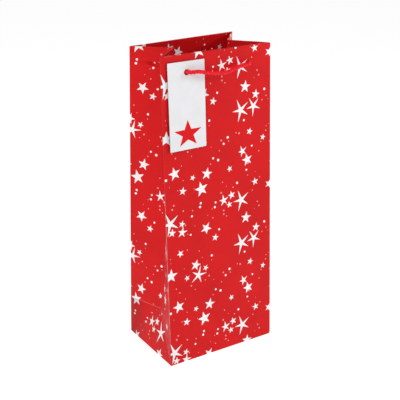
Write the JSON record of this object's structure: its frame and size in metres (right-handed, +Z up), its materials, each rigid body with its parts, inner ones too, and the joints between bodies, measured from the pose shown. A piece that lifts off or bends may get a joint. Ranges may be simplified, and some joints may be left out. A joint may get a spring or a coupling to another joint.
{
  "type": "wine gift bag",
  "caption": "Tall narrow paper gift bag for a wine bottle, star-printed, with folded-in sides, twisted cord handles and a hanging gift tag.",
  "frame": {"origin": "middle of the base, on the surface that the bag stands on", "axes": "+X to the right along the front panel, +Y from the front panel to the back panel, +Z up to the mouth"},
  "size_m": [0.13, 0.0909, 0.33],
  "materials": {
    "printed_paper": "red art paper with white printed stars and a soft satin film laminated over it, white paper where the sheet is cut",
    "stiffening_card": "uncoated grey board",
    "handle_cord": "red twisted cord with a slight sheen",
    "tag_card": "smooth white card with one printed red star"
  },
  "bodies": {
    "bag": {"front_panel": "printed_paper", "back_panel": "printed_paper", "left_gusset_front_half": "printed_paper", "left_gusset_back_half": "printed_paper", "right_gusset_front_half": "printed_paper", "right_gusset_back_half": "printed_paper", "front_top_card": "stiffening_card", "back_top_card": "stiffening_card", "front_top_hem": "printed_paper", "back_top_hem": "printed_paper", "left_gusset_front_hem": "printed_paper", "left_gusset_back_hem": "printed_paper", "right_gusset_front_hem": "printed_paper", "right_gusset_back_hem": "printed_paper", "side_seam_tab": "printed_paper", "front_base_flap": "printed_paper", "back_base_flap": "printed_paper", "left_base_flap": "printed_paper", "right_base_flap": "printed_paper", "front_cord_left_tail": "handle_cord", "front_cord_right_tail": "handle_cord", "front_cord_left_knot": "handle_cord", "front_cord_right_knot": "handle_cord", "back_cord_left_tail": "handle_cord", "back_cord_right_tail": "handle_cord", "back_cord_left_knot": "handle_cord", "back_cord_right_knot": "handle_cord"},
    "board": {"base_board": "stiffening_card"},
    "front_handle": {"front_cord_loop": "handle_cord"},
    "back_handle": {"back_cord_loop": "handle_cord"},
    "tag": {"gift_tag": "tag_card"}
  },
  "joints": [
    {"name": "base_board_lift", "type": "slide", "parent": "bag", "child": "board", "axis": [0, 0, 1], "range_m": [0, 0.004]},
    {"name": "front_handle_swing", "type": "hinge", "parent": "bag", "child": "front_handle", "pos_m": [0, -0.03922, 0.313], "axis": [-1, 0, 0], "range_deg": [0, 170]},
    {"name": "back_handle_swing", "type": "hinge", "parent": "bag", "child": "back_handle", "pos_m": [0, 0.04207, 0.313], "axis": [0.9974, 0.072, 0], "range_deg": [0, 170]},
    {"name": "tag_swing", "type": "hinge", "parent": "bag", "child": "tag", "pos_m": [-0.0365, -0.03272, 0.313], "axis": [0, -0.9991, 0.0424], "range_deg": [-35, 35]}
  ]
}
